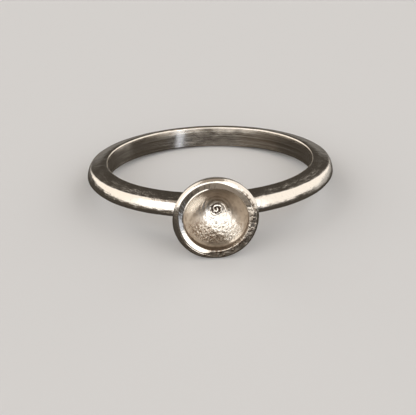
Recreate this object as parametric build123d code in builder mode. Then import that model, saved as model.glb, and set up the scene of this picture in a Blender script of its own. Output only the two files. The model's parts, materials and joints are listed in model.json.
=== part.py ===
from build123d import *
from math import asin, cos, hypot, sin
import os

# A silver finger ring that carries an empty round bezel cup, lying on its side.
# The ring's axis points up and leans back by the small angle at which the ring rests:
# in front the cup's wall touches the surface, behind it the lower edge of the shank.
# The cup faces -Y. The origin is on the surface, in the middle of the ring's box.
# All lengths are in millimetres.

# Shank, bent from heavy half-round wire with its flat side inwards
finger_diameter = 17.3
shank_thickness = 1.75
shank_width = 1.86
inner_flat_width = 1.62
widest_height = 0.45  # from the inner flat to where the wire is widest

# Bowl of the cup, from its mouth to its floor
bowl_diameter = 5.1
bowl_depth = 2.3
seat_wall_height = 0.7
floor_thickness = 0.47
cup_let_in = 0.6  # how deep the base of the cup is let into the shank

# Lip of the cup, from the mouth outwards
inner_facet_width = 0.35
inner_facet_rise = 0.08
outer_facet_width = 0.3
outer_facet_drop = 0.16
shoulder_width = 0.13
shoulder_drop = 0.18

# Solder that rounds the corner between the cup and the shank
solder_radius = 0.12

# Shank section, as distances from the ring's axis
finger_radius = finger_diameter / 2
outer_radius = finger_radius + shank_thickness
widest_radius = finger_radius + widest_height
crown_height = shank_thickness - widest_height
half_width = shank_width / 2
half_flat = inner_flat_width / 2

# Cup section, as radii about the cup's axis and distances from the ring's axis
bowl_radius = bowl_diameter / 2
ridge_radius = bowl_radius + inner_facet_width
facet_radius = ridge_radius + outer_facet_width
cup_radius = facet_radius + shoulder_width
base_distance = outer_radius - cup_let_in
floor_distance = base_distance + floor_thickness
mouth_distance = floor_distance + bowl_depth
wall_foot_distance = mouth_distance - seat_wall_height
ridge_distance = mouth_distance + inner_facet_rise
facet_distance = ridge_distance - outer_facet_drop
shoulder_distance = facet_distance - shoulder_drop
dome_depth = shoulder_distance - base_distance


def reach(along, across, angle):
    """How far an ellipse reaches from its centre, at an angle from its 'along' half axis."""
    return hypot(along * cos(angle), across * sin(angle))


# The ring leans until the cup's dome and the crown of the shank touch the surface together
tilt = 0.0
for step in range(12):
    dome_reach = reach(cup_radius, dome_depth, tilt)
    crown_reach = reach(half_width, crown_height, tilt)
    tilt = asin((dome_reach - crown_reach) / (shoulder_distance + widest_radius))

centre_height = widest_radius * sin(tilt) + reach(half_width, crown_height, tilt)
front_reach = ridge_distance * cos(tilt) + ridge_radius * sin(tilt)
back_reach = widest_radius * cos(tilt) + reach(crown_height, half_width, tilt)
centre = (0, (front_reach - back_reach) / 2, centre_height)

ring_plane = Plane(origin=centre, x_dir=(1, 0, 0), z_dir=(0, sin(tilt), cos(tilt)))
shank_plane = Plane(origin=centre, x_dir=(1, 0, 0), z_dir=-ring_plane.y_dir)
cup_plane = Plane(origin=centre, x_dir=(1, 0, 0), z_dir=-ring_plane.z_dir)
ring_axis = Axis(centre, ring_plane.z_dir)
cup_axis = Axis(centre, -ring_plane.y_dir)

with BuildPart() as bezel_ring:
    # Shank: a ring of one half-round section
    with BuildSketch(shank_plane):
        with BuildLine():
            crown = EllipticalCenterArc(
                (widest_radius, 0), crown_height, half_width, start_angle=-90, arc_size=180
            )
            upper_corner = TangentArc(crown @ 1, (finger_radius, half_flat), tangent=(-1, 0))
            lower_corner = TangentArc(crown @ 0, (finger_radius, -half_flat), tangent=(-1, 0))
            Line(upper_corner @ 1, lower_corner @ 1)
        make_face()
    revolve(axis=ring_axis)

    # Cup: a solid dome with a two-faceted lip
    with BuildSketch(cup_plane):
        with BuildLine():
            EllipticalCenterArc(
                (0, shoulder_distance), cup_radius, dome_depth, start_angle=-90, arc_size=90
            )
            TangentArc(
                (cup_radius, shoulder_distance), (facet_radius, facet_distance), tangent=(0, 1)
            )
            Polyline(
                (facet_radius, facet_distance),
                (ridge_radius, ridge_distance),
                (bowl_radius, mouth_distance),
                (0, mouth_distance),
                (0, base_distance),
            )
        make_face()
    revolve(axis=cup_axis)
    fillet(edges(Select.NEW), solder_radius)

    # Bowl: a short straight wall for the stone, then a dished floor
    with BuildSketch(cup_plane):
        with BuildLine():
            TangentArc((0, floor_distance), (bowl_radius, wall_foot_distance), tangent=(1, 0))
            Polyline(
                (bowl_radius, wall_foot_distance),
                (bowl_radius, ridge_distance),
                (0, ridge_distance),
                (0, floor_distance),
            )
        make_face()
    revolve(axis=cup_axis, mode=Mode.SUBTRACT)

bezel_ring.part.label = "bezel_ring"

os.makedirs("parts", exist_ok=True)
export_step(bezel_ring.part, "parts/bezel_ring.step")
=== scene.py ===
# %% [markdown]
# A bezel cup ring, dressed in Blender
#
# The object is a silver finger ring blank: a shank bent from heavy half-round wire, with an empty
# round bezel cup soldered on it for a stone of 5 mm. It lies on its side, so the cup's wall and the
# back of the shank touch the floor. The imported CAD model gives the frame: where the ring's axis is,
# where the cup points and how wide the finger hole and the bowl are. Everything here is built around
# those, in metres, and the finished ring then takes the place of the plain CAD solid.

import json
import math

import bmesh
import bpy
from mathutils import Matrix, Vector


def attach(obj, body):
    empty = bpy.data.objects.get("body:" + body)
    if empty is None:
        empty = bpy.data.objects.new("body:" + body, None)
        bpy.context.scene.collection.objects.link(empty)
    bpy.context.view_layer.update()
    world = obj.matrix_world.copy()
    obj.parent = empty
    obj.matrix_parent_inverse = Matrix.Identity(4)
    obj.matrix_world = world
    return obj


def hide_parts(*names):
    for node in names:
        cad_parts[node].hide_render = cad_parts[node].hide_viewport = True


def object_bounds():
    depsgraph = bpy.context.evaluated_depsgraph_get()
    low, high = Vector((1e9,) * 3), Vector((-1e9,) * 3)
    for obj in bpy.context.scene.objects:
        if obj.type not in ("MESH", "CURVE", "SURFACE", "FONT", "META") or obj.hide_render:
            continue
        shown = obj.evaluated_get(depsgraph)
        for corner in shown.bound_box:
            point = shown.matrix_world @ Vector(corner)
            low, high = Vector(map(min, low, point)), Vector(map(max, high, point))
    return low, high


MM = 0.001
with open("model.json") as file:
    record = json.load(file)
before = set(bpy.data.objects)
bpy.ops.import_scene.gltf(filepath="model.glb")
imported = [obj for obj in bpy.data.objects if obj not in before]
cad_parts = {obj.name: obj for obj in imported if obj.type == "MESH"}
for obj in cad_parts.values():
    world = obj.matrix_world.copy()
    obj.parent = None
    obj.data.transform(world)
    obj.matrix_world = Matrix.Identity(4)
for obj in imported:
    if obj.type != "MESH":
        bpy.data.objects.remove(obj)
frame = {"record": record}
cad_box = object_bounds()
mounts = {mount["name"]: mount for mount in frame["record"]["mounts"]}
print("CAD box in mm:", [[round(c / MM, 3) for c in corner] for corner in cad_box])

# %% [markdown]
# The two mounts of the record are the two places where something goes in: the finger hole and the
# stone seat. Their points and axes fix the ring's own frame: its centre is the middle of the finger
# hole, Z runs along the finger, and the cup points along -Y. The CAD box says how far out the shank
# reaches. The whole ring is modelled upright in that frame, where every form is round about an axis,
# and one matrix then leans it back as it lies.

# %% Read the places and sizes that the frame gives
finger_hole = mounts["finger_hole"]
stone_seat = mounts["stone_seat"]
ring_centre = Vector(finger_hole["pos_m"])
ring_axis = Vector(finger_hole["axis"]).normalized()
cup_axis = Vector(stone_seat["axis"]).normalized()
finger_radius = finger_hole["dims"]["r_mm"] * MM
inner_flat = finger_hole["dims"]["length_mm"] * MM
bowl_radius = stone_seat["dims"]["r_mm"] * MM
seat_wall = stone_seat["dims"]["length_mm"] * MM
mouth = (Vector(stone_seat["pos_m"]) - ring_centre).dot(cup_axis) + seat_wall / 2
outer_radius = cad_box[1][0]

lean = math.atan2(ring_axis.y, ring_axis.z)
ring_frame = Matrix.Translation(ring_centre) @ Matrix.Rotation(-lean, 4, "X")
print(f"finger hole: {2 * finger_radius / MM:.2f} mm across, leans back {math.degrees(lean):.2f} degrees")
print(f"bowl: {2 * bowl_radius / MM:.2f} mm across, its mouth {mouth / MM:.2f} mm from the centre")

# %% [markdown]
# Two small tools serve the whole script. One turns a colour as a painter or a web page writes it,
# in sRGB hex, into the linear numbers that Blender computes with. The other adds a node, sets its
# fields and fills its sockets. A socket gets a plain value, another node's socket, or simply another
# node, which then stands for the first of its outputs that is in use.

# %% Make the colour and node tools
SMOOTH = {"interpolation_type": "SMOOTHSTEP"}


def linear(hex_colour):
    """Linear RGBA from an sRGB hex colour such as 'C8C2B8'."""
    shares = [int(hex_colour[i:i + 2], 16) / 255 for i in (0, 2, 4)]
    return (*[s / 12.92 if s <= 0.04045 else ((s + 0.055) / 1.055) ** 2.4 for s in shares], 1)


def add_node(tree, kind, sockets=None, **settings):
    """Adds a node. Settings are its own fields; sockets maps an input to what goes into it."""
    made = tree.nodes.new(kind)
    for field, value in settings.items():
        setattr(made, field, value)
    for name, value in (sockets or {}).items():
        if isinstance(value, bpy.types.Node):
            value = next(output for output in value.outputs if output.enabled)
        if isinstance(value, bpy.types.NodeSocket):
            tree.links.new(value, made.inputs[name])
        else:
            made.inputs[name].default_value = value
    return made


print("sRGB middle grey is linear", round(linear("808080")[0], 3))

# %% [markdown]
# An outline is half of the section through a round form: a chain of points, each a radius and a
# height. Crisp metal is never quite sharp, so each corner of an outline is softened by a small
# curve, which is what catches the thin bright line along a real edge. A straight stretch is divided
# into even steps, so that the mesh has no long thin faces.

# %% Make the outline tools


def arc(centre, radii, start, end, count):
    """Points on an arc of an ellipse, from one angle to another in degrees."""
    angles = [math.radians(start + (end - start) * i / count) for i in range(count + 1)]
    return [(centre[0] + radii[0] * math.cos(a), centre[1] + radii[1] * math.sin(a)) for a in angles]


def between(first, last, share):
    """The point at that share of the way from the first to the last."""
    return tuple(a + (b - a) * share for a, b in zip(first, last))


def straight(first, last, count):
    """Points from the first to the last in even steps."""
    return [between(first, last, i / count) for i in range(count + 1)]


def soften(corner, before, after, radius, count=4):
    """A small curve in place of a corner, which starts and ends the radius away from it."""
    start = between(corner, before, radius / math.dist(corner, before))
    end = between(corner, after, radius / math.dist(corner, after))
    shares = [i / count for i in range(count + 1)]
    return [between(between(start, corner, s), between(corner, end, s), s) for s in shares]


print("a softened corner has", len(soften((0, 0), (-1, 0), (0, -1), 0.1)), "points")

# %% [markdown]
# The shank is a ring of heavy half-round wire. Its flat side was bent round a mandrel and is the
# finger hole. Outside it is crowned: below the crest it keeps the round of the wire, which a
# superellipse draws, and above the crest the file left a band and a sloping upper face that meet at
# a brow. That brow is why the highlight on the outside ends in a crisp line. The bore's upper edge is
# rolled a little, because a finger ring mustn't cut. The shank could be a curve with a bevel profile,
# but an outline turned about the ring's axis keeps the section exact.

# %% Draw the shank's outline
SHANK, BORE, LIP, BOWL, DOME = range(5)
shank_width = 1.86 * MM
widest_height = 0.45 * MM
crown_exponent = 1.85
crest_drop = 0.28 * MM
brow_height = 0.6 * MM
brow_drop = 0.27 * MM
brow_softness = 0.13 * MM
brow_trim = 3
bore_roll = 0.035 * MM
roll_exponent = 2.5
shank_steps = {"crown": 20, "band": 14, "slope": 9, "upper corner": 6, "bore": 24, "lower corner": 7}


def shank_outline():
    """Rows of radius, height and finish: the crown, the upper corner, the bore, the lower corner."""
    widest = finger_radius + widest_height
    half = shank_width / 2
    flat = inner_flat / 2
    power = 2 / crown_exponent
    reach, fall = outer_radius - widest, half - crest_drop
    crown = [(widest + reach * abs(x) ** power, -crest_drop - fall * abs(y) ** power)
             for x, y in arc((0, 0), (1, 1), 90, 0, shank_steps["crown"])]
    rise = brow_height + crest_drop
    round_radius = (rise ** 2 + brow_drop ** 2) / (2 * brow_drop)
    round_centre = (outer_radius - round_radius, -crest_drop)
    turn = math.degrees(math.asin(rise / round_radius))
    band = arc(round_centre, (round_radius, round_radius), 0, turn, shank_steps["band"])
    shoulder = (widest, half)
    brow = soften(band[-1], band[-1 - brow_trim], shoulder, brow_softness)
    bend = soften(shoulder, brow[-1], (finger_radius, half), 2 * brow_softness)
    slope = straight(brow[-1], bend[0], shank_steps["slope"])
    bend_end, bore_edge = bend[-1][0], finger_radius + bore_roll
    corner = arc((bend_end, flat), (bend_end - bore_edge, half - flat), 90, 180,
                 shank_steps["upper corner"])
    outside = crown + band[1:-brow_trim] + brow + slope[1:-1] + bend + corner[1:]
    bore = [(finger_radius + bore_roll * (max(0, y) / flat) ** roll_exponent, y)
            for _, y in straight((0, flat), (0, -flat), shank_steps["bore"])]
    lower = arc((widest, -flat), (widest_height, half - flat), 180, 270, shank_steps["lower corner"])
    zones = ((SHANK, outside), (BORE, bore), (SHANK, lower[1:]))
    return [(x, y, zone) for zone, points in zones for x, y in points]


print("shank outline:", len(shank_outline()), "points")

# %% [markdown]
# The cup is a solid dome with a bowl cut into it, and its lip carries two filed facets that meet at
# a ridge: one that leans into the bowl and one outside, which rounds over into the dome. Hand work
# shows, so the lip isn't the same all round. At the lower right the file went deep: there the ridge
# almost meets the mouth. At the lower left the metal stands a little proud, at the upper left the
# inner facet is broad, and beside that the burr pushed up a fine wire of metal at the mouth. So the
# outline is drawn once more for each of these states, with the angle about the cup where it shows
# most, how far it is full and how far it reaches, in degrees. The cup blends between them.

# %% Size the cup and the states of its lip
bowl_depth = 2.3 * MM
floor_thickness = 0.47 * MM
facet_shares = (0.08, 0.36, 0.64, 0.92)
cup_steps = {"floor": 100, "wall": 8, "shoulder": 3, "dome": 44}
turned_lip = {"rim_height": 0.0, "rim_width": 0.1 * MM, "inner_width": 0.38 * MM,
              "inner_rise": 0.08 * MM, "outer_width": 0.29 * MM, "outer_drop": 0.16 * MM,
              "shoulder_width": 0.13 * MM, "shoulder_drop": 0.18 * MM, "softness": 0.03 * MM}
lip_states = {
    "filed": (dict(turned_lip, rim_width=0.035 * MM, inner_width=0.07 * MM, inner_rise=0.02 * MM,
                   outer_width=0.53 * MM, softness=0.015 * MM), -54, 36, 66),
    "proud": (dict(turned_lip, inner_width=0.34 * MM, inner_rise=0.115 * MM, outer_width=0.38 * MM,
                   outer_drop=0.22 * MM), -150, 14, 52),
    "broad": (dict(turned_lip, inner_width=0.54 * MM, inner_rise=0.12 * MM, outer_width=0.14 * MM,
                   outer_drop=0.075 * MM, shoulder_width=0.12 * MM, shoulder_drop=0.2 * MM),
              120, 24, 65),
    "burred": (dict(turned_lip, rim_height=0.07 * MM, rim_width=0.09 * MM), 140, 30, 48),
}
print("the lip is turned and then", ", ".join(lip_states))

# %% [markdown]
# The outline starts at the middle of the bowl's floor, climbs the straight wall that will hold the
# stone, crosses the lip and goes down the dome. All its states have the same number of points, so
# that each point of one state has its partner in the others.

# %% Draw the cup's outline


def bowl_points():
    """The dished floor from its centre, then the straight wall."""
    rise = bowl_depth - seat_wall
    floor = mouth - bowl_depth
    dish = (bowl_radius ** 2 + rise ** 2) / (2 * rise)
    edge = math.degrees(math.asin(bowl_radius / dish))
    dished = arc((0, floor + dish), (dish, dish), -90, -90 + edge, cup_steps["floor"])
    wall = straight((bowl_radius, mouth - seat_wall), (bowl_radius, mouth), cup_steps["wall"])
    return dished[:-1] + wall[:-1]


def cup_outline(lip):
    """Rows of radius, height and finish, from the floor's centre over the lip and down the dome."""
    rim = (bowl_radius, mouth + lip["rim_height"])
    ridge = (bowl_radius + lip["inner_width"], mouth + lip["inner_rise"])
    valley = between((bowl_radius, mouth), ridge, lip["rim_width"] / lip["inner_width"])
    facet = (ridge[0] + lip["outer_width"], ridge[1] - lip["outer_drop"])
    shoulder = (facet[0] + lip["shoulder_width"], facet[1] - lip["shoulder_drop"])
    base = mouth - bowl_depth - floor_thickness
    below = (bowl_radius, mouth - seat_wall)
    inner = soften(ridge, valley, facet, lip["softness"])
    outer = soften(facet, ridge, shoulder, 2 * lip["softness"])
    crossed = soften(rim, below, valley, lip["softness"]) + [valley]
    crossed += [between(valley, inner[0], share) for share in facet_shares] + inner
    crossed += [between(inner[-1], outer[0], share) for share in facet_shares]
    dome = outer + straight(outer[-1], shoulder, cup_steps["shoulder"])[1:]
    dome += arc((0, shoulder[1]), (shoulder[0], shoulder[1] - base), 0, -90, cup_steps["dome"])[1:]
    zones = ((BOWL, bowl_points()), (LIP, crossed), (DOME, dome))
    return [(x, y, zone) for zone, points in zones for x, y in points]


print("cup outline:", len(cup_outline(turned_lip)), "points")

# %% [markdown]
# The chain of points becomes a small mesh of loose edges, which is all that the lathe below needs.
# What else a row knows goes along as attributes: its finish, and how far it moves in each state of
# the lip.

# %% Make outline meshes


def outline_object(name, rows, **moved):
    """An object whose mesh is the chain of rows; moved holds the same rows in another state."""
    chain = bpy.data.meshes.new(name)
    chain.from_pydata([(x, 0, y) for x, y, _ in rows], [(i, i + 1) for i in range(len(rows) - 1)], [])
    chain.attributes.new("finish", "INT", "POINT").data.foreach_set("value", [row[2] for row in rows])
    for state, others in moved.items():
        shifts = [c for (x, y, _), (u, v, _) in zip(rows, others) for c in (u - x, 0, v - y)]
        chain.attributes.new(state, "FLOAT_VECTOR", "POINT").data.foreach_set("vector", shifts)
    made = bpy.data.objects.new(name, chain)
    bpy.context.scene.collection.objects.link(made)
    return made


shank_chain = outline_object("shank_outline", shank_outline())
cup_chain = outline_object("cup_outline", cup_outline(turned_lip),
                           **{state: cup_outline(lip) for state, (lip, *_) in lip_states.items()})
print("outlines:", len(shank_chain.data.vertices), "and", len(cup_chain.data.vertices), "points")

# %% [markdown]
# Each form below is made by a group of Geometry Nodes, whose sizes come in through named sockets.
# Two helpers are shared. One starts a group. The other is a smooth bell: it says how strongly
# something that belongs to one bearing acts at another, and takes the short way round the circle.

# %% Make the group tools


def new_group(name, inputs, output):
    """A group whose inputs are names listed by kind of socket. Returns it and what it is given."""
    tree = bpy.data.node_groups.new(name, "GeometryNodeTree")
    for kind, names in inputs.items():
        for socket in names:
            tree.interface.new_socket(socket, in_out="INPUT", socket_type="NodeSocket" + kind)
    tree.interface.new_socket(output, in_out="OUTPUT", socket_type="NodeSocketGeometry")
    return tree, add_node(tree, "NodeGroupInput").outputs


def bell(tree, angle, at, full, reach, half_turn=math.pi):
    """1 as far as the full angle on both sides of a place, and 0 from the reach on."""
    away = add_node(tree, "ShaderNodeMath", {0: angle, 1: at}, operation="SUBTRACT")
    near = add_node(tree, "ShaderNodeMath", {0: away, 1: half_turn, 2: -half_turn}, operation="WRAP")
    size = add_node(tree, "ShaderNodeMath", {0: near}, operation="ABSOLUTE")
    return add_node(tree, "ShaderNodeMapRange", {"Value": size, "From Min": reach, "From Max": full},
                    **SMOOTH)


bell_angles = ("at", "full", "reach")
state_inputs = {f"{state} {part}": math.radians(angle) for state, (_, *angles) in lip_states.items()
                for part, angle in zip(bell_angles, angles)}
print("the lip's states take", len(state_inputs), "angles")

# %% [markdown]
# The shank and the cup are both forms of revolution: one outline, carried round an axis. A lathe in
# Geometry Nodes makes either. It takes the outline as a chain of points in the XZ plane, lays a grid
# of as many rows as the outline has points, and sends each grid point to its outline point, turned
# about Z. Merging by distance closes the seam and the poles. Where the angle comes near that of one
# of the lip's other states, the point slides to its place in that state by the bell. Last, a noise
# moves the surface along its normal by a few hundredths of a millimetre, as hand filing does.

# %% Build the lathe group


def hand_waves(tree, form, given):
    """Moves the form's surface in and out along its normal."""
    ripple = add_node(tree, "ShaderNodeTexNoise",
                      {"Scale": given["Waves per metre"], "W": given["Seed"], "Detail": 2.0},
                      noise_dimensions="4D")
    level = add_node(tree, "ShaderNodeMath", {0: ripple, 1: -0.5}, operation="ADD")
    height = add_node(tree, "ShaderNodeMath", {0: level, 1: given["Wave height"]},
                      operation="MULTIPLY")
    outward = add_node(tree, "GeometryNodeInputNormal")
    shift = add_node(tree, "ShaderNodeVectorMath", {0: outward, "Scale": height}, operation="SCALE")
    return add_node(tree, "GeometryNodeSetPosition", {"Geometry": form, "Offset": shift})


def lathe_group():
    """A node group that turns an outline about Z."""
    sizes = (*state_inputs, "Wave height", "Waves per metre", "Seed", "Merge distance")
    tree, given = new_group("lathe", {"Geometry": ["Outline"], "Int": ["Segments"], "Float": sizes},
                            "Turned form")
    outline = given["Outline"]
    points = add_node(tree, "GeometryNodeAttributeDomainSize", {"Geometry": outline})
    columns = add_node(tree, "ShaderNodeMath", {0: given["Segments"], 1: 1.0}, operation="ADD")
    grid = add_node(tree, "GeometryNodeMeshGrid", {"Vertices X": columns, "Vertices Y": points})
    across = add_node(tree, "ShaderNodeSeparateXYZ", {0: grid.outputs["UV Map"]}).outputs
    last = add_node(tree, "ShaderNodeMath", {0: points, 1: -1.0}, operation="ADD")
    row = add_node(tree, "ShaderNodeMath", {0: across["Y"], 1: last}, operation="MULTIPLY")
    turn = add_node(tree, "ShaderNodeMath", {0: across["X"], 1: math.tau}, operation="MULTIPLY")

    nearest = add_node(tree, "ShaderNodeMath", {0: row}, operation="ROUND")
    place = add_node(tree, "GeometryNodeInputPosition")
    drawn = add_node(tree, "GeometryNodeSampleIndex",
                     {"Geometry": outline, "Value": place, "Index": nearest},
                     data_type="FLOAT_VECTOR", domain="POINT")
    for state in lip_states:
        shift = add_node(tree, "GeometryNodeInputNamedAttribute", {"Name": state},
                         data_type="FLOAT_VECTOR")
        moved = add_node(tree, "GeometryNodeSampleIndex",
                         {"Geometry": outline, "Value": shift, "Index": nearest},
                         data_type="FLOAT_VECTOR", domain="POINT")
        strength = bell(tree, turn, *[given[f"{state} {part}"] for part in bell_angles])
        part = add_node(tree, "ShaderNodeVectorMath", {0: moved, "Scale": strength}, operation="SCALE")
        drawn = add_node(tree, "ShaderNodeVectorMath", {0: drawn, 1: part}, operation="ADD")
    turned = add_node(tree, "ShaderNodeVectorRotate", {"Vector": drawn, "Angle": turn},
                      rotation_type="Z_AXIS")

    mapped = add_node(tree, "GeometryNodeStoreNamedAttribute",
                      {"Geometry": grid, "Name": "UVMap", "Value": grid.outputs["UV Map"]},
                      data_type="FLOAT2", domain="CORNER")
    first = add_node(tree, "ShaderNodeMath", {0: row}, operation="FLOOR")
    finish = add_node(tree, "GeometryNodeInputNamedAttribute", {"Name": "finish"}, data_type="INT")
    found = add_node(tree, "GeometryNodeSampleIndex",
                     {"Geometry": outline, "Value": finish, "Index": first},
                     data_type="INT", domain="POINT")
    zoned = add_node(tree, "GeometryNodeStoreNamedAttribute",
                     {"Geometry": mapped, "Name": "finish", "Value": found},
                     data_type="INT", domain="FACE")
    form = add_node(tree, "GeometryNodeSetPosition", {"Geometry": zoned, "Position": turned})
    closed = add_node(tree, "GeometryNodeMergeByDistance",
                      {"Geometry": form, "Distance": given["Merge distance"]})
    add_node(tree, "NodeGroupOutput", {"Turned form": hand_waves(tree, closed, given)})
    return tree


lathe = lathe_group()
print("lathe group with", len(lathe.nodes), "nodes")

# %% [markdown]
# The bowl was cut with a round burr, which leaves four kinds of mark: a shallow dimple where it
# leaned, a small pit where its tip stood, a spiral of grooves round that, not quite in the middle,
# and a rough field below, where the burr chattered. All follow from where a point is, so they are
# made after the lathe has merged the floor's centre: a noise first makes the point stray, then its
# distance from the spiral's centre and its angle round it give the phase of a sine.

# %% Size the burr's marks and draw the spiral
burr_inputs = {"Groove height": 0.022 * MM, "Groove pitch": 0.28 * MM, "Groove reach": 1.9 * MM,
               "Stray": 0.35 * MM, "Strays per metre": 1600.0,
               "Pit depth": 0.09 * MM, "Pit radius": 0.25 * MM,
               "Dimple depth": 0.15 * MM, "Dimple radius": 1.8 * MM,
               "Chatter height": 0.11 * MM, "Chatters per metre": 4500.0,
               "Chatter starts": -0.3 * MM, "Chatter full": -1.3 * MM,
               "Chatter rim": 2.45 * MM, "Chatter rim full": 2.2 * MM}
burr_places = {"Spiral centre": (0.13 * MM, 0.02 * MM, 0.0), "Dimple centre": (0.15 * MM, 0.8 * MM, 0.0)}
first_turn = {"From Max": 0.4}
groove_breaks = {"From Min": 0.35, "From Max": 0.6, "To Min": 0.35}


def about_spiral(tree, given, place):
    """Where a point lies from the spiral's centre once it has strayed, and the noise that moved it."""
    drift = add_node(tree, "ShaderNodeTexNoise",
                     {"Vector": place, "Scale": given["Strays per metre"], "Detail": 1.0})
    level = add_node(tree, "ShaderNodeVectorMath",
                     {0: drift.outputs["Color"], 1: (-0.5, -0.5, -0.5)}, operation="ADD")
    stray = add_node(tree, "ShaderNodeVectorMath", {0: level, "Scale": given["Stray"]},
                     operation="SCALE")
    astray = add_node(tree, "ShaderNodeVectorMath", {0: place, 1: stray}, operation="ADD")
    offset = add_node(tree, "ShaderNodeVectorMath", {0: astray, 1: given["Spiral centre"]},
                      operation="SUBTRACT")
    return add_node(tree, "ShaderNodeVectorMath", {0: offset, 1: (1, 1, 0)}, operation="MULTIPLY"), drift


def spiral_height(tree, given, distance, sides, drift):
    """The grooves, weak before the first turn is done and where the noise is low, and the pit."""
    angle = add_node(tree, "ShaderNodeMath", {0: sides["Y"], 1: sides["X"]}, operation="ARCTAN2")
    rounds = add_node(tree, "ShaderNodeMath", {0: distance, 1: given["Groove pitch"]},
                      operation="DIVIDE")
    phase = add_node(tree, "ShaderNodeMath", {0: rounds, 1: math.tau, 2: angle},
                     operation="MULTIPLY_ADD")
    groove = add_node(tree, "ShaderNodeMath", {0: phase}, operation="SINE")
    deep = add_node(tree, "ShaderNodeMapRange",
                    {"Value": distance, "From Min": given["Groove reach"], "From Max": 0.0,
                     "To Max": given["Groove height"]}, **SMOOTH)
    begun = add_node(tree, "ShaderNodeMapRange", {"Value": rounds, **first_turn})
    unbroken = add_node(tree, "ShaderNodeMapRange", {"Value": drift, **groove_breaks})
    for share in (deep, begun, unbroken):
        groove = add_node(tree, "ShaderNodeMath", {0: groove, 1: share}, operation="MULTIPLY")
    pit = add_node(tree, "ShaderNodeMapRange",
                   {"Value": distance, "From Min": given["Pit radius"], "From Max": 0.0,
                    "To Max": given["Pit depth"]})
    return add_node(tree, "ShaderNodeMath", {0: groove, 1: pit}, operation="SUBTRACT")


print("the spiral makes a turn in", round(burr_inputs["Groove pitch"] / MM, 2), "mm")

# %% [markdown]
# The dimple is a smooth hollow round its own centre. The chatter is a fine noise that sets in below
# the spiral, grows towards the lower wall and stops short of it. The group adds all the heights up
# and lifts only the faces of the bowl, along the cup's axis.

# %% Build the burr group


def chatter_height(tree, given, place, distance, sides):
    """The rough field: a noise that grows downwards and ends before the wall."""
    chatter = add_node(tree, "ShaderNodeTexNoise",
                       {"Vector": place, "Scale": given["Chatters per metre"], "Detail": 1.0})
    rough = add_node(tree, "ShaderNodeMath", {0: chatter, 1: -0.5}, operation="ADD")
    below = add_node(tree, "ShaderNodeMapRange",
                     {"Value": sides["Y"], "From Min": given["Chatter starts"],
                      "From Max": given["Chatter full"], "To Max": given["Chatter height"]}, **SMOOTH)
    inside = add_node(tree, "ShaderNodeMapRange",
                      {"Value": distance, "From Min": given["Chatter rim"],
                       "From Max": given["Chatter rim full"]}, **SMOOTH)
    for share in (below, inside):
        rough = add_node(tree, "ShaderNodeMath", {0: rough, 1: share}, operation="MULTIPLY")
    return rough


def burr_group():
    """A node group that marks the bowl as a burr does."""
    tree, given = new_group("burr", {"Geometry": ["Form"], "Vector": burr_places, "Float": burr_inputs},
                            "Marked form")
    place = add_node(tree, "GeometryNodeInputPosition")
    flat, drift = about_spiral(tree, given, place)
    distance = add_node(tree, "ShaderNodeVectorMath", {0: flat}, operation="LENGTH")
    sides = add_node(tree, "ShaderNodeSeparateXYZ", {0: flat}).outputs

    level_place = add_node(tree, "ShaderNodeVectorMath", {0: place, 1: (1, 1, 0)}, operation="MULTIPLY")
    aside = add_node(tree, "ShaderNodeVectorMath", {0: level_place, 1: given["Dimple centre"]},
                     operation="DISTANCE")
    dimple = add_node(tree, "ShaderNodeMapRange",
                      {"Value": aside, "From Min": given["Dimple radius"], "From Max": 0.0,
                       "To Max": given["Dimple depth"]}, **SMOOTH)
    spiral = spiral_height(tree, given, distance, sides, drift)
    cut = add_node(tree, "ShaderNodeMath", {0: spiral, 1: dimple}, operation="SUBTRACT")
    rough = chatter_height(tree, given, place, distance, sides)
    total = add_node(tree, "ShaderNodeMath", {0: cut, 1: rough}, operation="ADD")

    lift = add_node(tree, "ShaderNodeCombineXYZ", {"Z": total})
    finish = add_node(tree, "GeometryNodeInputNamedAttribute", {"Name": "finish"}, data_type="INT")
    bowl = add_node(tree, "FunctionNodeCompare", {"A": finish, "B": BOWL}, data_type="INT",
                    operation="EQUAL")
    burred = add_node(tree, "GeometryNodeSetPosition",
                      {"Geometry": given["Form"], "Selection": bowl, "Offset": lift})
    add_node(tree, "NodeGroupOutput", {"Marked form": burred})
    return tree


burr = burr_group()
print("burr group with", len(burr.nodes), "nodes")

# %% [markdown]
# A goldsmith makes the two pieces apart and then joins them with solder. The main tree does the same.
# It turns both outlines and tips the cup over so that it points along -Y. The shank's outline runs
# the other way round its metal than the cup's, so its faces are flipped to point outwards. A ball
# cuts a seat for the cup in the shank, or the crest would show through the bowl's floor, and a
# Boolean then unites the two and leaves a hard crease.

# %% Turn the two pieces and join them


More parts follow.
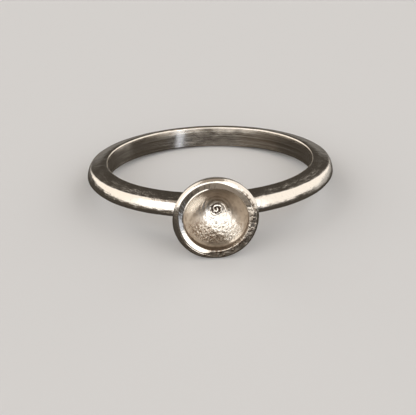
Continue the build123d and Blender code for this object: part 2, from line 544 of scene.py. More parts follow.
def joined_pieces(tree, given):
    """The shank and the cup, turned, marked and united."""
    shared = {name: given[name] for name in ("Waves per metre", "Seed", "Merge distance")}
    shank = add_node(tree, "GeometryNodeGroup",
                     {"Outline": given["Shank outline"], "Segments": given["Shank segments"],
                      "Wave height": given["Shank wave height"], **shared}, node_tree=lathe)
    chain = add_node(tree, "GeometryNodeObjectInfo", {"Object": given["Cup outline"]})
    cup = add_node(tree, "GeometryNodeGroup",
                   {"Outline": chain.outputs["Geometry"], "Segments": given["Cup segments"],
                    "Wave height": given["Cup wave height"], **shared,
                    **{name: given[name] for name in state_inputs}}, node_tree=lathe)
    marked = add_node(tree, "GeometryNodeGroup",
                      {"Form": cup, **{name: given[name] for name in (*burr_inputs, *burr_places)}},
                      node_tree=burr)
    tipped = add_node(tree, "GeometryNodeTransform",
                      {"Geometry": marked, "Rotation": (math.pi / 2, 0, 0)})
    flipped = add_node(tree, "GeometryNodeFlipFaces", {"Mesh": shank})
    ball = add_node(tree, "GeometryNodeMeshUVSphere",
                    {"Segments": 48, "Rings": 24, "Radius": given["Seat radius"]})
    placed = add_node(tree, "GeometryNodeTransform",
                      {"Geometry": ball, "Translation": given["Seat centre"]})
    seated = add_node(tree, "GeometryNodeMeshBoolean", {"Mesh 1": flipped, "Mesh 2": placed},
                      operation="DIFFERENCE", solver="EXACT")
    joined = add_node(tree, "GeometryNodeMeshBoolean", {"Mesh 2": seated}, operation="UNION",
                      solver="EXACT")
    tree.links.new(tipped.outputs[0], joined.inputs["Mesh 2"])
    return joined


print("a lathe group has", len(lathe.interface.items_tree), "sockets and the burr group",
      len(burr.interface.items_tree))

# %% [markdown]
# Solder fills the crease with a small hollow curve. So the tree measures how far each point is from
# the seam and smooths only those close to it. It ends by giving each zone its own finish.

# %% Build the soldering tree


def solder_tree(finishes):
    """A tree that turns the shank and the cup, joins them and gives each zone its finish."""
    tree, given = new_group(
        "turn_and_solder",
        {"Geometry": ["Shank outline"], "Object": ["Cup outline"],
         "Int": ("Shank segments", "Cup segments", "Solder passes"),
         "Vector": (*burr_places, "Seat centre"),
         "Float": (*state_inputs, *burr_inputs, "Shank wave height", "Cup wave height",
                   "Waves per metre", "Seed", "Merge distance", "Seat radius", "Solder reach"),
         "Material": finishes}, "Ring")
    joined = joined_pieces(tree, given)
    seam = add_node(tree, "GeometryNodeSeparateGeometry",
                    {"Geometry": joined, "Selection": joined.outputs["Intersecting Edges"]},
                    domain="EDGE")
    near = add_node(tree, "GeometryNodeProximity", {"Geometry": seam}, target_element="EDGES")
    weight = add_node(tree, "ShaderNodeMapRange",
                      {"Value": near.outputs["Distance"], "From Min": given["Solder reach"],
                       "From Max": 0.0}, **SMOOTH)
    place = add_node(tree, "GeometryNodeInputPosition")
    flowed = add_node(tree, "GeometryNodeBlurAttribute",
                      {"Value": place, "Iterations": given["Solder passes"], "Weight": weight},
                      data_type="FLOAT_VECTOR")
    soldered = add_node(tree, "GeometryNodeSetPosition", {"Geometry": joined, "Position": flowed})
    cleaned = add_node(tree, "GeometryNodeMergeByDistance",
                       {"Geometry": soldered, "Distance": given["Merge distance"]})
    smooth = add_node(tree, "GeometryNodeSetShadeSmooth", {"Geometry": cleaned})
    dressed = add_node(tree, "GeometryNodeRealizeInstances", {"Geometry": smooth})
    zone = add_node(tree, "GeometryNodeInputNamedAttribute", {"Name": "finish"}, data_type="INT")
    for number, name in enumerate(finishes):
        here = add_node(tree, "FunctionNodeCompare", {"A": zone, "B": number}, data_type="INT",
                        operation="EQUAL")
        dressed = add_node(tree, "GeometryNodeSetMaterial",
                           {"Geometry": dressed, "Selection": here, "Material": given[name]})
    add_node(tree, "NodeGroupOutput", {"Ring": dressed})
    return tree


finish_names = ("Shank finish", "Bore finish", "Lip finish", "Bowl finish", "Dome finish")
solder = solder_tree(finish_names)
print("soldering tree with", len(solder.nodes), "nodes")

# %% [markdown]
# Every mark on this ring was left by a tool that went round an axis or across it: the abrasive ran
# along the shank, the mandrel turned in the bore, the file crossed the lip and the burr spun in the
# bowl. So the patterns need to know the axis. A Mapping node of the texture kind carries the surface
# point back into the frame in which its form was turned, with Z along the axis. From there, noise that
# is squeezed across and stretched round the axis gives lines without any seam, and noise that is
# squeezed round it gives marks that cross them. All sizes are real ones, in metres.

# %% Find places about an axis
ABOUT_RING, ABOUT_CUP = -lean, math.pi / 2 - lean


def turned_place(tree, tilt):
    """The surface point in a frame whose Z is the turning axis, with its radius and its bearing."""
    where = add_node(tree, "ShaderNodeTexCoord")
    point = add_node(tree, "ShaderNodeMapping",
                     {"Vector": where.outputs["Object"], "Location": ring_centre,
                      "Rotation": (tilt, 0, 0)}, vector_type="TEXTURE")
    flat = add_node(tree, "ShaderNodeVectorMath", {0: point, 1: (1, 1, 0)}, operation="MULTIPLY")
    radius = add_node(tree, "ShaderNodeVectorMath", {0: flat}, operation="LENGTH")
    bearing = add_node(tree, "ShaderNodeVectorMath", {0: flat}, operation="NORMALIZE")
    return {"point": point, "flat": flat, "radius": radius, "bearing": bearing}


def lines_round(tree, place, spacing, length):
    """Noise drawn out into lines that run round the axis."""
    stretch = (1 / length, 1 / length, 1 / spacing)
    point = add_node(tree, "ShaderNodeVectorMath", {0: place["point"], 1: stretch},
                     operation="MULTIPLY")
    out = add_node(tree, "ShaderNodeMath", {0: place["radius"], 1: 1 / spacing},
                   operation="MULTIPLY")
    return add_node(tree, "ShaderNodeTexNoise",
                    {"Vector": point, "W": out, "Scale": 1.0, "Detail": 2.0}, noise_dimensions="4D")


def marks_across(tree, place, spacing, length, at_radius, skew):
    """Noise drawn out into marks that cross the lines, turned by the skew for each metre of radius."""
    twist = add_node(tree, "ShaderNodeMath", {0: place["radius"], 1: skew}, operation="MULTIPLY")
    turned = add_node(tree, "ShaderNodeVectorRotate", {"Vector": place["bearing"], "Angle": twist},
                      rotation_type="Z_AXIS")
    point = add_node(tree, "ShaderNodeVectorMath", {0: turned, "Scale": at_radius / spacing},
                     operation="SCALE")
    out = add_node(tree, "ShaderNodeMath", {0: place["radius"], 1: 1 / length},
                   operation="MULTIPLY")
    return add_node(tree, "ShaderNodeTexNoise",
                    {"Vector": point, "W": out, "Scale": 1.0, "Detail": 2.0}, noise_dimensions="4D")


tilts = [round(math.degrees(tilt), 1) for tilt in (ABOUT_RING, ABOUT_CUP)]
print("the ring's axis and the cup's are tilted by", tilts, "degrees")

# %% [markdown]
# Sterling silver reflects nearly all light, a little more of the red than of the blue, so the clean
# metal is a slightly warm pale grey, and a metal keeps the default IOR. What makes the finishes
# differ is how rough each was left, which way its marks run and what has settled in them, and in the
# bowl, painted highlights and painted shade. The base colour is laid on in coats and the roughness
# comes in as a pattern. All the fine relief is piled up as heights in metres for one Bump node.

# %% Make the silver shader
clean_silver = linear("EDE8E0")
worn_silver = linear("CFC6BA")
# The duller silver is painted shade at the top of the bowl, mixed with mottling. The darkest silver is
# real dirt in pits and file chips, and painted shade in the bowl's lower left and on its wall.
shade_and_mottle_silver = linear("ABA093")
tarnish_and_shade_silver = linear("8F7D6E")


def coated(tree, base, coats):
    """The base colour under coats, each of which is how much of it lies there and its colour."""
    colour = base
    for share, coat in coats:
        colour = add_node(tree, "ShaderNodeMix", {"Factor": share, "A": colour, "B": coat},
                          data_type="RGBA")
    return colour


def piled(tree, layers):
    """The sum of layers, each a pattern and the height that it has in metres."""
    total = 0.0
    for pattern, height in layers:
        total = add_node(tree, "ShaderNodeMath", {0: pattern, 1: height, 2: total},
                         operation="MULTIPLY_ADD")
    return total


def silver(name, draw):
    """A silver material; draw gets its tree and returns the colour, the roughness and the relief."""
    material = bpy.data.materials.new(name)
    material.use_nodes = True
    tree = material.node_tree
    tree.nodes.clear()
    colour, roughness, relief, constants = draw(tree)
    bump = add_node(tree, "ShaderNodeBump", {"Height": relief, "Distance": 1.0, "Strength": 1.0})
    surface = add_node(tree, "ShaderNodeBsdfPrincipled",
                       {"Base Color": colour, "Metallic": 1.0, "Roughness": roughness,
                        "Normal": bump, **constants})
    add_node(tree, "ShaderNodeOutputMaterial", {"Surface": surface})
    print(name, "has", len(tree.nodes), "nodes")
    return material


print("clean silver is linear", [round(share, 2) for share in clean_silver[:3]])

# %% [markdown]
# Outside, the shank and the dome were filed and then rubbed with abrasive paper. The eye sees a
# satin metal with short fine lines along the wire, shallow dents that make the edge of a highlight
# waver, and small dark pits that the paper didn't reach. The real lines are a few hundredths of a
# millimetre apart. They are drawn about twice as coarse here, so that they show at all.

# %% Mix the rubbed silver
paper_line_spacing = 0.09 * MM
paper_line_length = 1.6 * MM
paper_line_relief = 0.009 * MM
dent_size = 0.6 * MM
dent_relief = 0.035 * MM
dent_limits = {"From Min": 0.35, "From Max": 0.65}
speck_size = 0.14 * MM
speck_relief = 0.007 * MM
pit_limits = {"From Min": 0.68, "From Max": 0.8}
rubbed_roughness = {"To Min": 0.12, "To Max": 0.2}


def rubbed(tilt):
    """How rubbed silver looks on a form that was turned about the axis of that tilt."""
    def draw(tree):
        place = turned_place(tree, tilt)
        lines = lines_round(tree, place, paper_line_spacing, paper_line_length)
        dents, specks = [add_node(tree, "ShaderNodeTexNoise",
                                  {"Vector": place["point"], "Scale": 1 / size})
                         for size in (dent_size, speck_size)]
        pits = add_node(tree, "ShaderNodeMapRange", {"Value": specks, **pit_limits}, **SMOOTH)
        colour = coated(tree, clean_silver, [(pits, tarnish_and_shade_silver)])
        satin = add_node(tree, "ShaderNodeMapRange",
                         {"Value": dents, **dent_limits, **rubbed_roughness}, **SMOOTH)
        relief = piled(tree, [(lines, paper_line_relief), (dents, dent_relief), (specks, speck_relief)])
        return colour, satin, relief, {}
    return draw


print("paper lines are drawn", round(paper_line_spacing / MM, 2), "mm apart")

# %% [markdown]
# In the bore, the wire was dressed on a turning mandrel, which left straight lines all the way round.
# They too are drawn a little coarser than they are. Such lines spread a reflection across themselves,
# so a lamp shows as an upright streak. That is what anisotropy does: the tangent follows the UV map
# round the ring, and a quarter turn lays the streak across it.

# %% Mix the brushed silver
mandrel_line_spacing = 0.06 * MM
mandrel_line_length = 9.0 * MM
mandrel_line_relief = 0.003 * MM
mandrel_line_limits = {"From Min": 0.3, "From Max": 0.7}
brushed_roughness = {"To Min": 0.14, "To Max": 0.22}
streak_across = {"Anisotropic": 0.4, "Anisotropic Rotation": 0.25}


def brushed(tree):
    """Silver with straight lines that run round the finger hole."""
    place = turned_place(tree, ABOUT_RING)
    lines = lines_round(tree, place, mandrel_line_spacing, mandrel_line_length)
    tone = add_node(tree, "ShaderNodeMapRange", {"Value": lines, **mandrel_line_limits}, **SMOOTH)
    colour = coated(tree, worn_silver, [(tone, clean_silver)])
    satin = add_node(tree, "ShaderNodeMapRange",
                     {"Value": lines, **mandrel_line_limits, **brushed_roughness}, **SMOOTH)
    along = add_node(tree, "ShaderNodeTangent", direction_type="UV_MAP", uv_map="UVMap")
    relief = piled(tree, [(lines, mandrel_line_relief)])
    return colour, satin, relief, dict(streak_across, Tangent=along)


print("mandrel lines are drawn", round(mandrel_line_spacing / MM, 2), "mm apart")

# %% [markdown]
# The lip was filed by hand, so its marks are short and cross it at a slant, and the file left chips
# where dirt has settled. At the right and the lower right they are deep, because that is where most
# metal came off. At the upper left and on the bright inner facet at the lower left, the lip was gone
# over again and is nearly smooth. Two directions from the cup's axis say how deep the marks are. A
# fine file's teeth are about a tenth of a millimetre apart, and its marks are drawn twice as coarse.

# %% Mix the filed silver
stroke_spacing = 0.22 * MM
stroke_length = 0.6 * MM
stroke_skew = 180.0
stroke_relief = 0.12 * MM
chip_size = 0.26 * MM
chip_relief = 0.12 * MM
chip_limits = {"From Min": 0.5, "From Max": 0.68}
toward_deep = (0.7, -0.7, 0)
toward_smooth = (-0.77, -0.64, 0)
ridge_radius = bowl_radius + turned_lip["inner_width"]
inner_marks = {"From Min": 0.5, "From Max": 0.8, "To Min": 0.12, "To Max": 0.05}
outer_marks = {"From Min": -0.5, "From Max": 0.3, "To Min": 0.1, "To Max": 1.0}
outer_radii = {"From Min": ridge_radius + 0.01 * MM, "From Max": ridge_radius + 0.09 * MM}
outer_bearings = {"From Min": 0.35, "From Max": 0.6}
filed_roughness = {"From Min": 0.2, "From Max": 1.0, "To Min": 0.18, "To Max": 0.28}


def filed(tree):
    """Silver with slanting file marks, deep on one side of the lip and faint on the other."""
    place = turned_place(tree, ABOUT_CUP)
    strokes = marks_across(tree, place, stroke_spacing, stroke_length, bowl_radius, stroke_skew)
    chips = add_node(tree, "ShaderNodeTexNoise",
                     {"Vector": place["point"], "Scale": 1 / chip_size, "Detail": 3.0})
    deep, even = [add_node(tree, "ShaderNodeVectorMath", {0: place["bearing"], 1: toward},
                           operation="DOT_PRODUCT") for toward in (toward_deep, toward_smooth)]
    inner = add_node(tree, "ShaderNodeMapRange", {"Value": even, **inner_marks}, **SMOOTH)
    outer = add_node(tree, "ShaderNodeMapRange", {"Value": deep, **outer_marks}, **SMOOTH)
    past_ridge = add_node(tree, "ShaderNodeMapRange", {"Value": place["radius"], **outer_radii},
                          **SMOOTH)
    no_ridge = add_node(tree, "ShaderNodeMapRange", {"Value": deep, **outer_bearings}, **SMOOTH)
    outside = add_node(tree, "ShaderNodeMath", {0: past_ridge, 1: no_ridge}, operation="MAXIMUM")
    cut = add_node(tree, "ShaderNodeMix", {"Factor": outside, "A": inner, "B": outer})
    heights = piled(tree, [(strokes, stroke_relief), (chips, chip_relief)])
    relief = add_node(tree, "ShaderNodeMath", {0: heights, 1: cut}, operation="MULTIPLY")
    chipped = add_node(tree, "ShaderNodeMapRange", {"Value": chips, **chip_limits}, **SMOOTH)
    dirt = add_node(tree, "ShaderNodeMath", {0: chipped, 1: cut}, operation="MULTIPLY")
    colour = coated(tree, clean_silver, [(cut, worn_silver), (dirt, tarnish_and_shade_silver)])
    satin = add_node(tree, "ShaderNodeMapRange", {"Value": cut, **filed_roughness}, **SMOOTH)
    return colour, satin, relief, {}


print("the lip's ridge is", round(ridge_radius / MM, 2), "mm from the cup's axis")

# %% [markdown]
# A round burr cut the bowl. Near the middle it left rings, and in the lower half it chattered and
# left a rough field that sparkles. The middle, the lower right and a spot at the upper left get
# painted highlights: the brightest silver, where reflections fall. Between those the silver is a
# little grey and mottled, and the top is darker with painted shade. At the lower left and on the
# wall under the mouth, painted shade turns it brown. Each of these areas is a distance from a place
# in the bowl or along a direction in it, made ragged by one noise.

# %% Mark the bowl's painted highlights and painted shade
# Painted highlights: spots of the brightest silver in the middle, at the lower right and at the upper
# left.
highlight_middle = (0.2 * MM, -0.6 * MM, 0), 0.9 * MM, 1.3 * MM
highlight_low = (1.2 * MM, -1.4 * MM, 0), 0.6 * MM, 1.0 * MM
highlight_high = (-1.5 * MM, 0.8 * MM, 0), 0.5 * MM, 1.0 * MM
# Painted shade over the top of the bowl.
shade_top = (0.2 * MM, 1.8 * MM, 0), 0.9 * MM, 1.9 * MM
ragged_size = 0.4 * MM
ragged_reach = 0.45 * MM
field_limits = {"From Min": 0.2 * MM, "From Max": 1.4 * MM}
field_rim = {"From Min": 2.45 * MM, "From Max": 2.2 * MM}
# Painted shade towards the lower left of the bowl.
toward_shade = (-0.6, -0.8, 0)
shaded_corner_limits = {"From Min": 1.1 * MM, "From Max": 1.6 * MM}
mottle_limits = {"From Min": 0.45, "From Max": 0.65, "To Max": 0.7}


def bowl_spot(tree, place, stray, spot):
    """1 within the full radius about a centre and 0 beyond the last one, both moved by the stray."""
    centre, full, gone = spot
    gap = add_node(tree, "ShaderNodeVectorMath", {0: place["flat"], 1: centre}, operation="DISTANCE")
    off = add_node(tree, "ShaderNodeMath", {0: gap, 1: stray}, operation="ADD")
    return add_node(tree, "ShaderNodeMapRange", {"Value": off, "From Min": gone, "From Max": full},
                    **SMOOTH)


def bowl_areas(tree, place, ragged, stray):
    """How rough the bowl is, and where it gets painted shade at the lower left, painted highlights and
    painted shade with mottling, each from 0 to 1.
    """
    low, corner = [add_node(tree, "ShaderNodeVectorMath", {0: place["flat"], 1: toward},
                            operation="DOT_PRODUCT") for toward in ((0, -1, 0), toward_shade)]
    below = add_node(tree, "ShaderNodeMapRange", {"Value": low, **field_limits}, **SMOOTH)
    inside = add_node(tree, "ShaderNodeMapRange", {"Value": place["radius"], **field_rim}, **SMOOTH)
    rough = add_node(tree, "ShaderNodeMath", {0: below, 1: inside}, operation="MULTIPLY")
    # Painted shade towards the lower left.
    cornered = add_node(tree, "ShaderNodeMath", {0: corner, 1: stray}, operation="ADD")
    shaded_corner = add_node(tree, "ShaderNodeMapRange", {"Value": cornered, **shaded_corner_limits}, **SMOOTH)
    middle, bottom, high, top = [bowl_spot(tree, place, stray, spot)
                                 for spot in (highlight_middle, highlight_low, highlight_high, shade_top)]
    # Painted highlights: the spots in the middle and at the lower right, less the painted shade at the
    # lower left, and the spot at the upper left.
    highlighted = add_node(tree, "ShaderNodeMath", {0: middle, 1: bottom}, operation="MAXIMUM")
    bright = add_node(tree, "ShaderNodeMath", {0: highlighted, 1: shaded_corner}, operation="SUBTRACT", use_clamp=True)
    brightest = add_node(tree, "ShaderNodeMath", {0: bright, 1: high}, operation="MAXIMUM")
    mottled = add_node(tree, "ShaderNodeMapRange", {"Value": ragged, **mottle_limits}, **SMOOTH)
    # Painted shade at the top, joined with random mottling.
    shade_and_mottle = add_node(tree, "ShaderNodeMath", {0: top, 1: mottled}, operation="MAXIMUM")
    return rough, shaded_corner, brightest, shade_and_mottle


highlight_radii = [round(spot[1] / MM, 2) for spot in (highlight_middle, highlight_low, highlight_high)]
print("wiped areas have radii of", highlight_radii, "mm")

# %% [markdown]
# A painted dark line follows the spiral: painted shade and dark reflections of its grooves, thick in
# its first turns and as faint rings in the later ones, fainter still under the painted highlights.
# Its line is the same kind of sine as the groove's, now with a fine noise that makes it waver like
# a scratch. The later rings are finer on the real ring and are drawn coarser here.

# %% Paint the shade along the spiral
# Painted shade: the dark colour of the line along the spiral.
spiral_shade_black = linear("40342C")
spiral_start = burr_places["Spiral centre"], 0.35 * MM, 0.65 * MM
spiral_end = burr_places["Spiral centre"], 1.0 * MM, 1.6 * MM
curl_pitch = 0.32 * MM
curl_waver = 0.35 * MM
curl_limits = {"From Min": -0.4, "From Max": 0.3}
faint_shares = {"To Min": 0.45, "To Max": 0.12}


def painted_spiral_shade(tree, place, grit, stray, brightest):
    """How much painted shade lies along the spiral, from 0 to 1."""
    from_start = add_node(tree, "ShaderNodeVectorMath", {0: place["flat"], 1: spiral_start[0]},
                          operation="SUBTRACT")
    sides = add_node(tree, "ShaderNodeSeparateXYZ", {0: from_start}).outputs
    turn = add_node(tree, "ShaderNodeMath", {0: sides["Y"], 1: sides["X"]}, operation="ARCTAN2")
    out = add_node(tree, "ShaderNodeVectorMath", {0: from_start}, operation="LENGTH")
    wavering = add_node(tree, "ShaderNodeMath", {0: grit, 1: curl_waver, 2: out},
                        operation="MULTIPLY_ADD")
    coil = add_node(tree, "ShaderNodeMath", {0: wavering, 1: math.tau / curl_pitch, 2: turn},
                    operation="MULTIPLY_ADD")
    curls = add_node(tree, "ShaderNodeMath", {0: coil}, operation="SINE")
    curled = add_node(tree, "ShaderNodeMapRange", {"Value": curls, **curl_limits}, **SMOOTH)
    kept = add_node(tree, "ShaderNodeMapRange", {"Value": brightest, **faint_shares})
    faint = add_node(tree, "ShaderNodeMath", {0: bowl_spot(tree, place, stray, spiral_end), 1: kept},
                     operation="MULTIPLY")
    caught = add_node(tree, "ShaderNodeMath", {0: bowl_spot(tree, place, 0.0, spiral_start), 1: faint},
                      operation="MAXIMUM")
    return add_node(tree, "ShaderNodeMath", {0: curled, 1: caught}, operation="MULTIPLY")


print("the black line comes back every", round(curl_pitch / MM, 2), "mm")

# %% [markdown]
# The burr-cut silver puts these areas together. Its fine rings and its grit are drawn about twice as
# coarse as a real burr leaves them. The places with painted highlights and the rough places are
# shinier than the silver between them.

# %% Mix the burr-cut silver
burr_ring_spacing = 0.11 * MM
burr_ring_length = 1.2 * MM
burr_ring_relief = 0.012 * MM
grit_size = 0.16 * MM
grit_relief = 0.011 * MM
field_relief = 0.05 * MM
blotch_limits = {"From Min": 0.45, "From Max": 0.62}
# Painted shade on the wall just under the mouth.
wall_shade_limits = {"From Min": bowl_radius - 0.05 * MM, "From Max": bowl_radius - 0.01 * MM, "To Max": 0.7}
burr_cut_roughness = {"To Min": 0.35, "To Max": 0.22}


def burr_cut(tree):
    """Silver that a burr left ringed in the middle and rough below, with painted highlights and painted
    shade.
    """
    place = turned_place(tree, ABOUT_CUP)
    rings = lines_round(tree, place, burr_ring_spacing, burr_ring_length)
    grit, ragged = [add_node(tree, "ShaderNodeTexNoise",
                             {"Vector": place["point"], "Scale": 1 / size, "Detail": 3.0})
                    for size in (grit_size, ragged_size)]
    stray = add_node(tree, "ShaderNodeMath", {0: ragged, 1: 2 * ragged_reach, 2: -ragged_reach},
                     operation="MULTIPLY_ADD")
    rough, shaded_corner, brightest, shade_and_mottle = bowl_areas(tree, place, ragged, stray)
    # Painted shade at the lower left, broken into blotches, and a band of painted shade on the wall under
    # the mouth.
    shaded_field = add_node(tree, "ShaderNodeMath", {0: rough, 1: shaded_corner}, operation="MULTIPLY")
    blotches = add_node(tree, "ShaderNodeMapRange", {"Value": grit, **blotch_limits}, **SMOOTH)
    blotched_shade = add_node(tree, "ShaderNodeMath", {0: shaded_field, 1: blotches}, operation="MULTIPLY")
    wall = add_node(tree, "ShaderNodeMapRange", {"Value": place["radius"], **wall_shade_limits}, **SMOOTH)
    bowl_shade = add_node(tree, "ShaderNodeMath", {0: blotched_shade, 1: wall}, operation="MAXIMUM")
    spiral_shade = painted_spiral_shade(tree, place, grit, stray, brightest)
    # The coats paint shade with mottling, highlights, shade in the darkest silver and the dark line along
    # the spiral.
    colour = coated(tree, worn_silver, [(shade_and_mottle, shade_and_mottle_silver), (brightest, clean_silver),
                                        (bowl_shade, tarnish_and_shade_silver), (spiral_shade, spiral_shade_black)])
    gritty = add_node(tree, "ShaderNodeMath", {0: grit, 1: rough}, operation="MULTIPLY")
    relief = piled(tree, [(gritty, field_relief), (rings, burr_ring_relief), (grit, grit_relief)])
    shiny = add_node(tree, "ShaderNodeMath", {0: brightest, 1: rough}, operation="MAXIMUM")
    satin = add_node(tree, "ShaderNodeMapRange", {"Value": shiny, **burr_cut_roughness}, **SMOOTH)
    return colour, satin, relief, {}


print("burr rings are drawn", round(burr_ring_spacing / MM, 2), "mm apart")

# %% [markdown]
# The five zones of the ring get their finishes in the order of their numbers. The shank and the dome
# share one way of rubbing, each about its own axis.

# %% Finish the five zones
coats = [("rubbed_silver_of_the_shank", rubbed(ABOUT_RING)), ("mandrel_brushed_silver", brushed),
         ("hand_filed_silver", filed), ("burr_cut_silver", burr_cut),
         ("rubbed_silver_of_the_dome", rubbed(ABOUT_CUP))]
finishes = {name: silver(*coat) for name, coat in zip(finish_names, coats)}

# %% [markdown]
# A modifier's inputs go by the hidden identifiers of their sockets, so a helper looks them up by
# name. It sets them before anything is evaluated, takes the evaluated result as a plain mesh and
# throws the modifier away, so that what stays in the scene is an ordinary mesh. A count of points,
# volume and open edges then shows whether the ring came out whole.

# %% Make the ring
seat_sink = 0.47 * MM
seat_radius = 2.0 * MM


def run_tree(piece, tree, values):
    """Runs a Geometry Nodes tree on the piece with named inputs and keeps the plain mesh."""
    modifier = piece.modifiers.new(tree.name, "NODES")
    identifiers = {s.name: s.identifier for s in tree.interface.items_tree if s.in_out == "INPUT"}
    modifier.node_group = tree
    for name, value in values.items():
        modifier[identifiers[name]] = value
    seen = piece.evaluated_get(bpy.context.evaluated_depsgraph_get())
    made = bpy.data.meshes.new_from_object(seen)
    piece.modifiers.remove(modifier)
    piece.data = made


bezel_ring = shank_chain
bezel_ring.name = "silver_bezel_ring"
run_tree(bezel_ring, solder,
         {"Cup outline": cup_chain, "Shank segments": 560, "Cup segments": 256,
          "Shank wave height": 0.05 * MM, "Cup wave height": 0.02 * MM, "Waves per metre": 700.0,
          "Seed": 3.0, "Merge distance": 0.002 * MM, "Solder reach": 0.3 * MM, "Solder passes": 30,
          "Seat centre": (0.0, -(outer_radius - seat_sink + seat_radius), 0.0),
          "Seat radius": seat_radius, **state_inputs, **burr_inputs, **burr_places, **finishes})
bezel_ring.data.transform(ring_frame)
bpy.data.objects.remove(cup_chain)

measured = bmesh.new()
measured.from_mesh(bezel_ring.data)
print(f"ring: {len(measured.verts)} points, {sum(len(f.verts) - 2 for f in measured.faces)} triangles, "
      f"{measured.calc_volume(signed=True) / MM ** 3:.2f} cubic mm, "
      f"open edges {sum(not edge.is_manifold for edge in measured.edges)}")
measured.free()

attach(bezel_ring, "root")
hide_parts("bezel_ring")

# %% [markdown]
# The floor is a wide plane of pale matt paper at height zero, where the CAD model already rests.
# It is only there for the picture. Silver shows all that lies round it, so the paper is kept out
# of its reflections, as black card would do, and it holds back none of the faint light that reaches
# the ring from low down.

# %% Lay the floor
floor_reach = 2.0
paper_roughness = 0.9
corners = [(-floor_reach, -floor_reach, 0), (floor_reach, -floor_reach, 0),
           (floor_reach, floor_reach, 0), (-floor_reach, floor_reach, 0)]
floor_mesh = bpy.data.meshes.new("floor")
floor_mesh.from_pydata(corners, [], [(0, 1, 2, 3)])
floor = bpy.data.objects.new("floor", floor_mesh)
bpy.context.scene.collection.objects.link(floor)
paper = bpy.data.materials.new("pale_paper")
paper.use_nodes = True
paper.node_tree.nodes["Principled BSDF"].inputs["Base Color"].default_value = linear("DDE0E4")
paper.node_tree.nodes["Principled BSDF"].inputs["Roughness"].default_value = paper_roughness
floor_mesh.materials.append(paper)
floor.visible_glossy = False
floor.visible_shadow = False
print("the floor is", 2 * floor_reach, "m wide")

# %% [markdown]
# The camera stands where the photograph was taken. The numbers come from laying the ring's edges
# over the picture: a distance from the middle of the finger hole, two angles in the ring's own frame,
# three small turns and a focal length in pixels. The angles are counted about the ring's axis, which
# leans, so the offset is put together from the ring's own three directions.

# %% Set the camera
view_distance = 125.1 * MM
view_elevation = math.radians(18.8)
view_azimuth = math.radians(-1.6)
view_yaw = math.radians(0.13)
view_pitch = math.radians(-1.55)
view_roll = math.radians(1.78)
focal_pixels = 1469.1
photo_width = 416
nearest_seen = 0.005
farthest_seen = 10.0

ring_x = Vector((1, 0, 0))
ring_y = ring_axis.cross(ring_x)
away = Vector((math.sin(view_azimuth) * math.cos(view_elevation),
               -math.cos(view_azimuth) * math.cos(view_elevation),
               math.sin(view_elevation)))
offset = ring_x * away.x + ring_y * away.y + ring_axis * away.z
ahead = -offset.normalized()
right = ahead.cross(ring_axis).normalized()
upward = right.cross(ahead)
yaw = Matrix.Rotation(view_yaw, 3, upward)
ahead, right = yaw @ ahead, yaw @ right
pitch = Matrix.Rotation(view_pitch, 3, right)
ahead, upward = pitch @ ahead, pitch @ upward
roll = Matrix.Rotation(view_roll, 3, ahead)
right, upward = roll @ right, roll @ upward

camera_data = bpy.data.cameras.new("camera")
camera_data.lens = focal_pixels / photo_width * camera_data.sensor_width
camera_data.clip_start = nearest_seen
camera_data.clip_end = farthest_seen
camera = bpy.data.objects.new("camera", camera_data)
bpy.context.scene.collection.objects.link(camera)
camera.matrix_world = (Matrix.Translation(ring_centre + offset * view_distance)
                       @ Matrix((right, upward, -ahead)).transposed().to_4x4())
bpy.context.scene.camera = camera
print("the camera is", [round(c / MM, 1) for c in camera.location], "mm from the origin")

# %% [markdown]
# Polished silver shows only what stands round it, so its light is a room and not a lamp. A
# photographer surrounds it with white paper and leaves dark gaps. Here that tent is a world shader:
# each panel has a colour, a brightness, a span of compass bearings counted from the camera's side and
# a span of heights in degrees, each with a soft edge. The front panel draws the bright stripe along
# the shank and the glow in the bowl, the window the blue streak in the bore, and the dark room
# between them the shadows. The dim warm panels low down keep the undersides from going black.

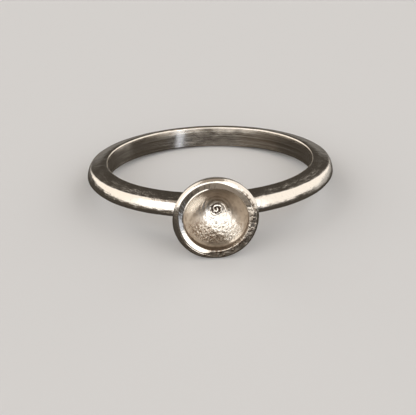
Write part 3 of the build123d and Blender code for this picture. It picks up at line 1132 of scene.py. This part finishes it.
# %% Light it
half_turn = 180.0
tent_panels = {
    "front": ("FFFBF6", 1.7, (-75, 45), 10, (-3, 49), 4),
    "window": ("E4EEFF", 0.85, (27, 37), 2, (-24, 45), 4),
    "left": ("FFF6EC", 1.15, (-152, -75), 8, (-4, 60), 3),
    "right": ("FFF8F0", 1.1, (45, 150), 8, (-4, 62), 3),
    "low": ("FFFBF6", 0.45, (104, 150), 12, (-17, -4), 3),
    "apron": ("FFEEDC", 0.24, (-45, 12), 8, (-52, -22), 5),
    "warm card": ("FFE6CC", 0.06, (-85, -35), 12, (-18, -6), 3),
    "back": ("FFFBF6", 0.15, (150, 210), 12, (-16, 5), 3),
    "ceiling": ("FFEBD6", 0.32, (-200, 200), 6, (60, 120), 6),
    "room": ("FFEFDC", 0.06, (-200, 200), 6, (-120, 120), 6),
}


def within(tree, angle, ends, soft):
    """1 between two angles in degrees, and 0 beyond a soft edge."""
    middle, half = (ends[0] + ends[1]) / 2, (ends[1] - ends[0]) / 2
    return bell(tree, angle, middle, half - soft, half + soft, half_turn)


def light_tent(name, panels):
    """A dark room with soft panels of light, each over a span of bearings and heights."""
    made = bpy.data.worlds.new(name)
    made.use_nodes = True
    tree = made.node_tree
    tree.nodes.clear()
    direction = add_node(tree, "ShaderNodeTexCoord").outputs["Generated"]
    sides = add_node(tree, "ShaderNodeSeparateXYZ", {0: direction}).outputs
    sine = add_node(tree, "ShaderNodeMath", {0: sides["Z"]}, operation="ARCSINE")
    height = add_node(tree, "ShaderNodeMath", {0: sine}, operation="DEGREES")
    toward = add_node(tree, "ShaderNodeMath", {0: sides["Y"], 1: -1.0}, operation="MULTIPLY")
    turn = add_node(tree, "ShaderNodeMath", {0: sides["X"], 1: toward}, operation="ARCTAN2")
    bearing = add_node(tree, "ShaderNodeMath", {0: turn}, operation="DEGREES")
    light = (0.0, 0.0, 0.0)
    for colour, brightness, span, span_edge, rise, rise_edge in panels.values():
        lit = add_node(tree, "ShaderNodeMath", {0: within(tree, bearing, span, span_edge),
                                                1: within(tree, height, rise, rise_edge)},
                       operation="MULTIPLY")
        strength = add_node(tree, "ShaderNodeMath", {0: lit, 1: brightness}, operation="MULTIPLY")
        panel = add_node(tree, "ShaderNodeVectorMath",
                         {0: linear(colour)[:3], "Scale": strength}, operation="SCALE")
        light = add_node(tree, "ShaderNodeVectorMath", {0: light, 1: panel}, operation="ADD")
    shade = add_node(tree, "ShaderNodeBackground", {"Color": light, "Strength": 1.0})
    add_node(tree, "ShaderNodeOutputWorld", {"Surface": shade})
    return made


bpy.context.scene.world = light_tent("light_tent", tent_panels)
bpy.context.scene.view_settings.view_transform = "Standard"
print("light tent with", len(tent_panels), "panels")
